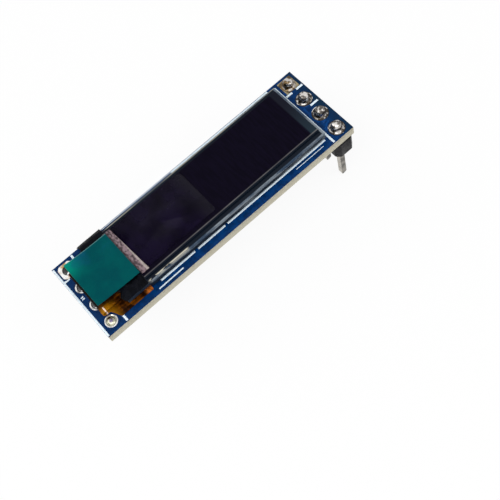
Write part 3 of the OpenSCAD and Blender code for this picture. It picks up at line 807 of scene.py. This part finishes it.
# strokes of each digit in a cell 0.6 wide and 1 high
DIGITS = {
    "0": [bow(0.3, 0.5, 0.28, 0.5, 0, 360, 16)],
    "1": [[(0.1, 0.78), (0.35, 1.0), (0.35, 0.0)]],
    "2": [bow(0.3, 0.72, 0.28, 0.28, 170, -35) + [(0.0, 0.0), (0.6, 0.0)]],
    "3": [bow(0.28, 0.76, 0.25, 0.24, 150, -90) + bow(0.28, 0.27, 0.3, 0.27, 90, -150)],
    "4": [[(0.45, 0.0), (0.45, 1.0), (0.0, 0.3), (0.62, 0.3)]],
    "5": [[(0.55, 1.0), (0.1, 1.0), (0.06, 0.56)] + bow(0.28, 0.32, 0.3, 0.32, 115, -145)],
    "6": [[(0.45, 1.0), (0.08, 0.5)] + bow(0.3, 0.3, 0.28, 0.3, 150, 510, 16)],
}
DIGIT_STEP = 0.85

# lines printed on the screen side, each from u, v to u, v in millimetres
WIDE_LINES = (
    (2.5, 0.1, 2.5, 9.9),
    (30.42, 0.12, 30.42, 9.6),
    (7.6, 1.03, 12.1, 1.03),
    (12.5, 1.03, 16.12, 1.03),
    (16.46, 1.03, 29.9, 1.03),
    (16.0, 9.83, 29.6, 9.83),
    (30.6, 7.8, 31.4, 7.8),
    (32.0, 7.8, 32.85, 7.8),
    (31.7, 5.18, 32.7, 5.18),
    (0.2, 7.88, 0.86, 7.91),
)
FINE_LINES = ((6.9, 0.44, 10.1, 0.48), (0.42, 5.30, 0.74, 5.34), (0.42, 5.06, 0.74, 5.10))
HAIR_LINES = ((25.5, 0.58, 29.3, 0.58), (5.8, 9.9, 16.0, 9.9))
FLEX_END_LINE = ((0.12, 0.12, 0.12, 9.88),)


def number_strokes(digits, start, along, up, height):
    """Strokes of a number that starts at a point and reads along one way of the board."""
    strokes = []
    for place, digit in enumerate(digits):
        for stroke in DIGITS[digit]:
            points = [(x + DIGIT_STEP * place, y) for x, y in stroke]
            strokes.append([start + height * (along * x + up * y) for x, y in points])
    return strokes


def bracket_strokes(centre, half_u, half_v, leg):
    """The two open brackets round a chip part: across each end, with legs that point inwards."""
    strokes = []
    for s in (-1, 1):
        end = centre + ALONG * s * half_u
        strokes.append([end + ACROSS * t * half_v for t in (-1, 1)])
        for t in (-1, 1):
            corner = end + ACROSS * t * half_v
            strokes.append([corner, corner - ALONG * s * leg])
    return strokes


def part_side_print():
    """Brackets, numbers and way numbers on the side with the parts."""
    low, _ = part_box("pcb")
    half_u = 1.62 * MM
    half_v = abs(middle(ROW_A[1]).y - middle(ROW_A[0]).y) / 2
    leg = 0.95 * MM
    number_gap = 1.75 * MM
    height = sizes().digit_height
    lines = []
    digits = []
    labelled = [(node, f"1{i + 1}") for i, node in enumerate(ROW_A)]
    labelled += [(node, f"2{i + 1}") for i, node in enumerate(ROW_B)]
    labelled.append(("capacitor_7", "31"))
    for node, number in labelled:
        centre = middle(node)
        centre.z = low.z
        lines += bracket_strokes(centre, half_u, half_v, leg)
        start = centre - ALONG * (half_u + number_gap) + ACROSS * height / 2
        digits += number_strokes(number, start, ALONG, -ACROSS, height)
    centre = middle("regulator_body")
    _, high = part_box("regulator_body")
    beside = Vector((centre.x, high.y + 0.18 * MM, low.z))
    lines.append([beside - ALONG * 0.35 * MM, beside + ALONG * 0.9 * MM])
    start = Vector((centre.x + 1.55 * MM, low.y + 8.38 * MM, low.z))
    digits += number_strokes("32", start, ACROSS, ALONG, height)
    for way in WAYS:
        pin = middle(f"header_pin_{way}")
        start = Vector((pin.x - 3.25 * MM, pin.y - 0.3 * height, low.z))
        digits += number_strokes(str(way), start, ACROSS, ALONG, height)
    return lines, digits


class MODULE_OT_ink(bpy.types.Operator):
    """Prints the lines and numbers on both faces of the board"""

    bl_idname = "module.ink"
    bl_label = "Printed ink"

    def execute(self, context):
        s = sizes()
        _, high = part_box("pcb")
        for name, lines, width, rise in (
            ("ink_screen_side", WIDE_LINES, 1.0, 1.0),
            ("ink_fine_lines", FINE_LINES, 0.6, 1.0),
            ("ink_hair_line", HAIR_LINES, 0.3, 0.5),
            ("ink_flex_end", FLEX_END_LINE, 0.85, 1.0),
        ):
            strokes = [[spot(a, b, high.z), spot(c, d, high.z)] for a, b, c, d in lines]
            line_art(name, strokes, width * s.ink_width, rise * s.ink_rise, "ink")
        lines, digits = part_side_print()
        line_art("ink_part_side", lines, 0.6 * s.ink_width, s.ink_rise, "ink")
        line_art("ink_numbers", digits, 0.56 * s.ink_width, s.ink_rise, "ink")
        return {"FINISHED"}


# ---- board -----------------------------------------------------------------------------


# copper runs under the mask, in millimetres along and across the board
SCREEN_SIDE_RUNS = (
    ((30.95, 1.9), (31.3, 2.3), (31.75, 2.45)),
    ((31.4, 2.85), (31.9, 3.4)),
    ((31.45, 5.55), (31.9, 6.0)),
    ((30.9, 8.3), (31.5, 8.7)),
    ((30.9, 3.0), (30.9, 5.4)),
)
SCREEN_SIDE_VIAS = ((30.93, 1.9), (31.4, 2.85), (31.45, 5.55), (30.92, 8.3), (30.9, 4.3))
PART_SIDE_RUNS = (
    ((31.0, 6.27), (28.4, 6.27), (27.6, 7.1), (27.6, 7.98)),
    ((31.0, 3.73), (27.9, 3.73), (26.9, 4.6), (24.4, 4.6), (23.9, 4.09), (21.9, 4.09)),
    ((31.0, 1.19), (24.5, 1.19), (23.1, 2.57), (21.9, 2.57)),
    ((24.5, 7.03), (23.4, 7.03), (23.3, 7.13), (21.9, 7.13)),
    ((24.5, 8.93), (22.2, 8.93)),
    ((19.8, 2.57), (18.5, 2.57), (17.2, 1.28), (15.6, 1.28)),
    ((19.8, 4.09), (17.0, 4.09), (16.8, 4.32), (15.6, 4.32)),
    ((19.8, 5.61), (17.1, 5.61), (16.9, 5.84), (15.6, 5.84)),
    ((19.8, 7.13), (17.0, 7.13), (16.8, 7.36), (15.6, 7.36)),
    ((19.8, 8.65), (17.0, 8.65), (16.8, 8.88), (15.6, 8.88)),
)
# runs that end in a via
PART_SIDE_ENDS = (
    ((13.5, 1.28), (9.6, 1.28), (8.7, 2.2), (6.1, 2.2)),
    ((13.5, 2.80), (9.9, 2.80), (9.4, 3.3), (5.3, 3.3)),
    ((13.5, 4.32), (6.1, 4.32)),
    ((13.5, 5.84), (9.0, 5.84), (8.5, 5.4), (5.3, 5.4)),
    ((13.5, 7.36), (9.6, 7.36), (8.6, 6.5), (6.1, 6.5)),
    ((13.5, 8.88), (9.0, 8.88), (7.8, 7.7), (5.3, 7.7)),
)
# a via's half section: shares of its radius and of its rise
VIA_SECTION = (
    (0.0, 0.1), (0.3, 0.15), (0.5, 0.8), (0.7, 1.0), (0.9, 0.7), (1.0, 0.0), (0.9, -0.3), (0.0, -0.3)
)


class MODULE_OT_board(bpy.types.Operator):
    """Gives the board its mask and laminate, its runs of copper under the mask and its vias"""

    bl_idname = "module.board"
    bl_label = "Board"

    def execute(self, context):
        dressed("pcb", "board", 1.25)
        low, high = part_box("pcb")
        self.traces("traces_screen_side", SCREEN_SIDE_RUNS, high.z)
        self.traces("traces_part_side", PART_SIDE_RUNS + PART_SIDE_ENDS, low.z)
        self.vias("vias_screen_side", SCREEN_SIDE_VIAS, high.z, 1)
        self.vias("vias_part_side", [run[-1] for run in PART_SIDE_ENDS], low.z, -1)
        for way in WAYS:
            spare_tin = "square_spare_tin" if way == 1 else "spare_tin"
            header_tin = "stained_tin" if way == 1 else "fluxed_tin"
            dressed(f"spare_eyelet_{way}", spare_tin, 0.375)
            dressed(f"header_eyelet_{way}", header_tin, 0.375)
        return {"FINISHED"}

    def traces(self, name, runs, z):
        """Runs of copper that show as low ridges."""
        s = sizes()
        strokes = [[spot(u, v, z) for u, v in run] for run in runs]
        line_art(name, strokes, s.trace_width, s.trace_rise, "trace")

    def vias(self, name, spots, z, side):
        """Masked vias: a low ring with a dimple in its middle."""
        reach = sizes().via_size / 2
        rise = 0.03 * MM * side
        outline = [(reach * across, rise * up) for across, up in VIA_SECTION]
        bm = bmesh.new()
        for u, v in spots:
            lathe(bm, spot(u, v, z), outline, 20)
        piece(name, bm, ["trace"], sharp=60)


# ---- header and its solder -------------------------------------------------------------


class MODULE_OT_header(bpy.types.Operator):
    """Dresses the header strip and its four pins"""

    bl_idname = "module.header"
    bl_label = "Header"

    def execute(self, context):
        dressed("header_strip", "header", 1.25)
        for way in WAYS:
            dressed(f"header_pin_{way}", "pin", 0.75)
        return {"FINISHED"}


class MODULE_OT_joints(bpy.types.Operator):
    """Models the hand-soldered joints and the hole that is closed with solder"""

    bl_idname = "module.joints"
    bl_label = "Solder joints"

    def execute(self, context):
        for way in WAYS:
            self.joint(way)
        self.plug()
        return {"FINISHED"}

    def joint(self, way):
        """A dome over the pin with a flared, slightly uneven foot."""
        node = f"solder_joint_{way}"
        low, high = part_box(node)
        _, board_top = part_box("pcb")
        centre = middle(node)
        centre.z = 0
        foot = board_top.z + PAD_RISE
        hem = foot - 0.03 * MM
        bore = 0.5 * MM
        reach = (high.x - low.x) / 2
        rise = high.z - foot
        dome = 0.66 * reach
        outline = [(0.0, high.z)]
        outline += [(dome * math.sin(a) ** 0.75, foot + rise * (0.3 + 0.7 * math.cos(a) ** 0.8))
                    for a in quarter(10, 1)[:-1]]
        outline += [(reach - (reach - dome) * math.cos(a), foot + 0.32 * rise * (1 - math.sin(a)))
                    for a in quarter(8)]
        outline += [(reach, hem), (bore, hem), (bore, low.z), (0.0, low.z)]
        bm = bmesh.new()
        lathe(bm, centre, outline, 48)
        roughen(bm, reach=0.16 * MM, grain=0.55 * MM, seed=1.7 * way,
                keep=lambda co: max(0.0, min(1.0, (co.z - foot) / rise)) * 0.9)
        for vert in bm.verts:
            vert.co.z = min(vert.co.z, high.z)
        piece(f"joint_{way}", bm, ["solder"], [node], sharp=60)

    def plug(self):
        """The closed hole: a low dome inside a shallow moat on both faces."""
        low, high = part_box("solder_plug")
        centre = middle("solder_plug")
        centre.z = 0
        reach = (high.x - low.x) / 2
        dome, moat, wall = (share * reach for share in (0.55, 0.68, 0.84))
        rise = 0.12 * MM
        outline = []
        for side, face in ((1, high.z - rise), (-1, low.z + rise)):
            half = [(0.0, face + side * rise)]
            half += [(dome * math.sin(a), face + side * rise * (0.35 + 0.65 * math.cos(a)))
                     for a in quarter(5, 1)]
            half += [(moat, face - side * 0.01 * MM), (wall, face + side * 0.06 * MM), (reach, face)]
            outline += half[::side]
        bm = bmesh.new()
        lathe(bm, centre, outline, 48)
        roughen(bm, reach=0.03 * MM, grain=0.5 * MM, seed=9.1)
        piece("closed_hole", bm, ["clean_solder"], ["solder_plug"], sharp=60)


# ---- display panel ---------------------------------------------------------------------


class MODULE_OT_panel(bpy.types.Operator):
    """Dresses the glasses, the polarizer and what lies between and under them"""

    bl_idname = "module.panel"
    bl_label = "Display panel"

    def execute(self, context):
        for node in ("front_glass", "rear_glass"):
            dressed(node, "glass", 1.5)
        dressed("polarizer", "screen", 0.75)
        dressed("driver_chip", "silicon", 0.5)
        coat("foam_tape", "foam")
        coat("edge_seal", "seal")
        coat("emitter_layer", "emitter")
        return {"FINISHED"}


def grid_sheet(low, high, steps=(1, 1), shape=lambda s, t: Vector()):
    """A flat grid over a box's plan whose points are then moved by shape(s, t) -> offset."""
    bm = bmesh.new()
    bmesh.ops.create_grid(bm, x_segments=steps[0], y_segments=steps[1], size=0.5)
    size = high - low
    for vert in bm.verts:
        s, t = vert.co.x + 0.5, vert.co.y + 0.5
        vert.co = Vector((low.x + s * size.x, low.y + t * size.y, low.z)) + shape(s, t)
    return bm


def thicken(made, thickness):
    """Gives a sheet its thickness above its lower face."""
    solid = made.modifiers.new("thickness", "SOLIDIFY")
    solid.thickness = thickness
    solid.offset = 1.0
    return made


class MODULE_OT_films(bpy.types.Operator):
    """Models the protective film, the frosted strip, the pull tab and the black tape"""

    bl_idname = "module.films"
    bl_label = "Films and tab"

    def execute(self, context):
        self.film()
        self.strip()
        self.tab()
        self.tape()
        return {"FINISHED"}

    def film(self):
        """A sheet with round corners at its free end and a slightly lighter rim."""
        low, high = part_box("protective_film")
        bm = grid_sheet(low, high)
        far_corner = sizes().film_corner
        near_corner = 0.4 * far_corner
        free_end = [v for v in bm.verts if v.co.x > (low.x + high.x) / 2]
        free_end.sort(key=lambda v: v.co.y)
        for vert, offset in zip(free_end, (near_corner, far_corner)):
            bmesh.ops.bevel(
                bm, geom=[vert], offset=offset, segments=8, profile=0.5, affect="VERTICES",
                material=-1,
            )
        rim = bmesh.ops.inset_region(bm, faces=bm.faces[:], thickness=0.11 * MM, depth=0.0)
        for face in rim["faces"]:
            face.material_index = 1
        made = piece("film", bm, ["film", "film_rim"], ["protective_film"])
        thicken(made, high.z - low.z)

    def strip(self):
        """The frosted strip lies a little askew and is wrinkled."""
        low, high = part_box("frosted_strip")
        tuck = ALONG * 0.1 * MM
        lean = math.tan(math.radians(3.2)) * (high.y - low.y)

        def shape(s, t):
            ripple = noise.noise(Vector((s * 3.0, t * 22.0, 0.4)))
            return Vector((lean * (0.5 - t), 0, 0.012 * MM * (1 + ripple)))

        bm = grid_sheet(low - tuck, high, (8, 60), shape)
        made = piece("held_strip", bm, ["strip"], ["frosted_strip"])
        thicken(made, high.z - low.z)

    def tab(self):
        """The tab leaves the strip flat and curls up towards its free end."""
        low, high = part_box("pull_tab")
        tuck = ALONG * 0.12 * MM
        thickness = 0.1 * MM
        rise = high.z - low.z - thickness

        def shape(s, t):
            curl = (1 - s) ** 2 * rise * (0.72 + 0.28 * t)
            wave = 0.08 * MM * math.sin(5.0 * t + 2.0 * s) * s * (1 - s)
            return Vector((0, 0, curl + wave + 0.01 * MM))

        bm = grid_sheet(low - tuck, high, (36, 36), shape)
        made = piece("green_tab", bm, ["tab"], ["pull_tab"])
        round_edges(thicken(made, thickness * 0.8), 0.5)

    def tape(self):
        """Black tape over the ledge, pulled down to the board on its far side."""
        low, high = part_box("ledge_tape")
        glass_low, glass_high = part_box("front_glass")
        _, board_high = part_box("pcb")
        size = high - low
        lean = board_high.y - 0.06 * MM - high.y
        knee = 0.7
        slack = 0.45 * MM
        drop = 0.75 * MM / 0.43
        droop = 0.35

        def shape(s, t):
            x = low.x + s * size.x
            y = low.y + t * size.y
            wrinkle = 0.015 * MM * noise.noise(Vector((s * 5.0, t * 9.0, 1.3)))
            past_end = max(0.0, glass_low.x - x)
            beyond = max(0.0, y - glass_high.y) / (high.y - glass_high.y)
            fall = slack * min(1.0, beyond / knee) + drop * max(0.0, beyond / knee - 1.0)
            ragged = 0.12 * MM * noise.noise(Vector((s * 4.0, 2.2, 0.3))) if t < 0.02 else 0.0
            torn = 0.5 * MM * noise.noise(Vector((0.7, t * 15.0, 2.9))) * (1 - s) ** 2
            lift = wrinkle + 0.012 * MM - droop * past_end - fall
            return Vector((torn, lean * beyond + ragged, lift))

        bm = grid_sheet(low, high, (30, 120), shape)
        made = piece("black_tape", bm, ["tape"], ["ledge_tape"])
        thicken(made, size.z)


class MODULE_OT_flex(bpy.types.Operator):
    """Dresses the folded flex and its contacts"""

    bl_idname = "module.flex"
    bl_label = "Flex"

    def execute(self, context):
        dressed("display_flex", "flex", 0.5)
        coat("flex_contacts", "tin")
        return {"FINISHED"}


# ---- parts underneath ------------------------------------------------------------------


class MODULE_OT_parts(bpy.types.Operator):
    """Dresses the chip parts, the diode and the regulator, with solder on the leads"""

    bl_idname = "module.parts"
    bl_label = "Parts underneath"

    def execute(self, context):
        for nodes, finish, slot, share in (
            (CAPACITORS, "ceramic", "capacitor_ceramic", 0.75),
            (RESISTORS, "resistor", "resistor_ceramic", 0.5),
            (("row_a_ends", "row_b_ends", "single_ends"), "ends", "part_ends", 0.75),
            (("diode_body", "regulator_body"), "moulded", "moulded_black", 1.0),
            (("diode_leads", "regulator_leads"), "ends", "lead_metal", 0.5),
        ):
            for node in nodes:
                dressed(node, finish, share)
        self.marks()
        self.mounds()
        return {"FINISHED"}

    def marks(self):
        """A plain number on each resistor."""
        low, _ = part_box(RESISTORS[0])
        height = 0.42 * MM
        strokes = []
        for node in RESISTORS:
            start = middle(node) - ALONG * 1.15 * height + ACROSS * height / 2
            start.z = low.z
            strokes += number_strokes("103", start, ALONG, -ACROSS, height)
        line_art(
            "resistor_marks", strokes, width=0.07 * MM, rise=0.01 * MM, finish="mark",
        )

    def mounds(self):
        """Solder over the feet of the leads."""
        board_low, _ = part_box("pcb")
        pads = board_low.z - PAD_RISE
        inset = 0.36 * MM
        rise = sizes().mound_rise
        feet = []
        for part, places in (("diode", (0.0,)), ("regulator", (-0.95 * MM, 0.95 * MM))):
            low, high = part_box(f"{part}_leads")
            y = middle(f"{part}_body").y
            feet += [Vector((low.x + inset, y + place, pads)) for place in places]
            feet.append(Vector((high.x - inset, y, pads)))
        outline = [(0.30 * MM * math.sin(a), -rise * math.cos(a) ** 1.3) for a in quarter(8)]
        outline.append((0.0, 0.0))
        bm = bmesh.new()
        for index, foot in enumerate(feet):
            verts = lathe(bm, foot, outline, 28)
            bmesh.ops.scale(bm, vec=(1.15, 1.0, 1.0), verts=verts, space=Matrix.Translation(-foot))
            offset = Vector((index, 0.5, 0.0))
            for vert in verts:
                lump = noise.noise(vert.co / (0.25 * MM) + offset)
                vert.co += (vert.co - foot) * 0.12 * lump
        piece("lead_solder", bm, ["lead_solder"], sharp=70)


# ---- stage -----------------------------------------------------------------------------


def look_along(back, roll):
    """Turn of a camera whose back points along a vector, rolled about its own axis."""
    right = Vector((0, 0, 1)).cross(back).normalized()
    up = back.cross(right)
    rolled_up = up * math.cos(roll) + right * math.sin(roll)
    rolled_right = right * math.cos(roll) - up * math.sin(roll)
    return Matrix((rolled_right, rolled_up, back)).transposed().to_euler()


def toward(azimuth, elevation):
    """The direction of a point seen from the module."""
    flat = math.cos(elevation)
    return Vector((flat * math.cos(azimuth), flat * math.sin(azimuth), math.sin(elevation)))


class MODULE_OT_stage(bpy.types.Operator):
    """Sets the camera, the lamps, the pale floor and the white surroundings"""

    bl_idname = "module.stage"
    bl_label = "Stage"

    def execute(self, context):
        stage = context.scene.module_stage
        self.camera(context.scene, stage)
        for name, azimuth, elevation, power in (
            ("key_lamp", -155, 58, stage.key),
            ("fill_lamp", -60, 45, stage.fill),
            ("back_lamp", 125, 40, stage.back),
        ):
            direction = toward(math.radians(azimuth), math.radians(elevation))
            self.lamp(context.scene, name, direction, power)
        self.floor(context.scene, stage)
        self.surroundings(context.scene, stage)
        context.scene.view_settings.view_transform = "Standard"
        return {"FINISHED"}

    def camera(self, scene, stage):
        """The camera, aimed at a point on the board's top face."""
        _, board_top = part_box("pcb")
        aim = spot(0, 0, board_top.z) + Vector((stage.aim_u, stage.aim_v, 0))
        back = toward(stage.azimuth, stage.elevation)
        data = bpy.data.cameras.new("camera")
        data.lens = stage.lens
        data.sensor_width = 36.0
        data.clip_start = 0.002
        data.clip_end = 10.0
        camera = bpy.data.objects.new("camera", data)
        camera.location = aim + back * stage.distance
        camera.rotation_euler = look_along(back, stage.roll)
        scene.collection.objects.link(camera)
        scene.camera = camera

    def lamp(self, scene, name, direction, power):
        """A large soft lamp that faces the module."""
        distance = 0.45
        data = bpy.data.lights.new(name, "AREA")
        data.shape = "SQUARE"
        data.size = 0.30
        data.energy = power
        lamp = bpy.data.objects.new(name, data)
        lamp.location = direction * distance
        lamp.rotation_euler = look_along(direction, 0.0)
        scene.collection.objects.link(lamp)

    def floor(self, scene, stage):
        """A pale floor just under the pin tips."""
        bm = bmesh.new()
        bmesh.ops.create_grid(bm, x_segments=1, y_segments=1, size=stage.floor_size / 2)
        level = CAD_LOW[2] - 0.01 * MM
        bmesh.ops.translate(bm, vec=(0, 0, level), verts=bm.verts[:])
        mesh = bpy.data.meshes.new("floor")
        bm.to_mesh(mesh)
        bm.free()
        floor = bpy.data.objects.new("floor", mesh)
        scene.collection.objects.link(floor)
        f = Finish("floor")
        f.set(Base_Color=f.mix(f.cloud(200), FLOOR, FLOOR_SHADE))
        f.set(Roughness=0.9, Specular_IOR_Level=0.1)
        glow = f.add("ShaderNodeEmission", Color=WHITE, Strength=1.0).outputs[0]
        self.show(f, "Material Output", f.times(f.seen_rays(), 0.9), f.shader.outputs[0], glow)
        mesh.materials.append(f.material)

    def surroundings(self, scene, stage):
        """Soft light all round, seen as white."""
        world = bpy.data.worlds.new("surroundings")
        scene.world = world
        world.use_nodes = True
        f = Nodes(world.node_tree)
        soft = f.tree.nodes["Background"]
        soft.inputs["Color"].default_value = WHITE
        soft.inputs["Strength"].default_value = stage.ambient
        white = f.add("ShaderNodeBackground", Color=WHITE, Strength=1.0).outputs[0]
        self.show(f, "World Output", f.seen_rays(), soft.outputs[0], white)

    def show(self, f, output, seen, lit, white):
        """What lights the object by one shader and is seen as another."""
        mixed = f.add("ShaderNodeMixShader", i0=seen, i1=lit, i2=white).outputs[0]
        f.feed(f.tree.nodes[output].inputs["Surface"], mixed)


# ---- add-on ----------------------------------------------------------------------------


OPERATORS = (
    MODULE_OT_board,
    MODULE_OT_header,
    MODULE_OT_joints,
    MODULE_OT_panel,
    MODULE_OT_films,
    MODULE_OT_flex,
    MODULE_OT_parts,
    MODULE_OT_ink,
    MODULE_OT_stage,
)
GROUPS = (
    ("module_sizes", ModuleSizes),
    ("module_colours", ModuleColours),
    ("module_stage", ModuleStage),
)


class MODULE_PT_finishes(bpy.types.Panel):
    """Lists the steps that dress the module, and their settings"""

    bl_idname = "MODULE_PT_finishes"
    bl_label = "Display module"
    bl_space_type = "VIEW_3D"
    bl_region_type = "UI"
    bl_category = "Module"

    def draw(self, context):
        """One button for each step, then every setting."""
        for operator in OPERATORS:
            self.layout.operator(operator.bl_idname)
        for name, group in GROUPS:
            for setting in group.__annotations__:
                self.layout.prop(getattr(context.scene, name), setting)


def register():
    """Registers the settings, the operators and the panel."""
    for name, group in GROUPS:
        bpy.utils.register_class(group)
        setattr(bpy.types.Scene, name, bpy.props.PointerProperty(type=group))
    for operator in OPERATORS:
        bpy.utils.register_class(operator)
    bpy.utils.register_class(MODULE_PT_finishes)


def unregister():
    """Takes them away again."""
    bpy.utils.unregister_class(MODULE_PT_finishes)
    for operator in reversed(OPERATORS):
        bpy.utils.unregister_class(operator)
    for name, group in reversed(GROUPS):
        delattr(bpy.types.Scene, name)
        bpy.utils.unregister_class(group)


def main():
    """Dresses the module step by step."""
    register()
    for operator in OPERATORS:
        family, name = operator.bl_idname.split(".")
        getattr(getattr(bpy.ops, family), name)()


if __name__ == "__main__":
    main()
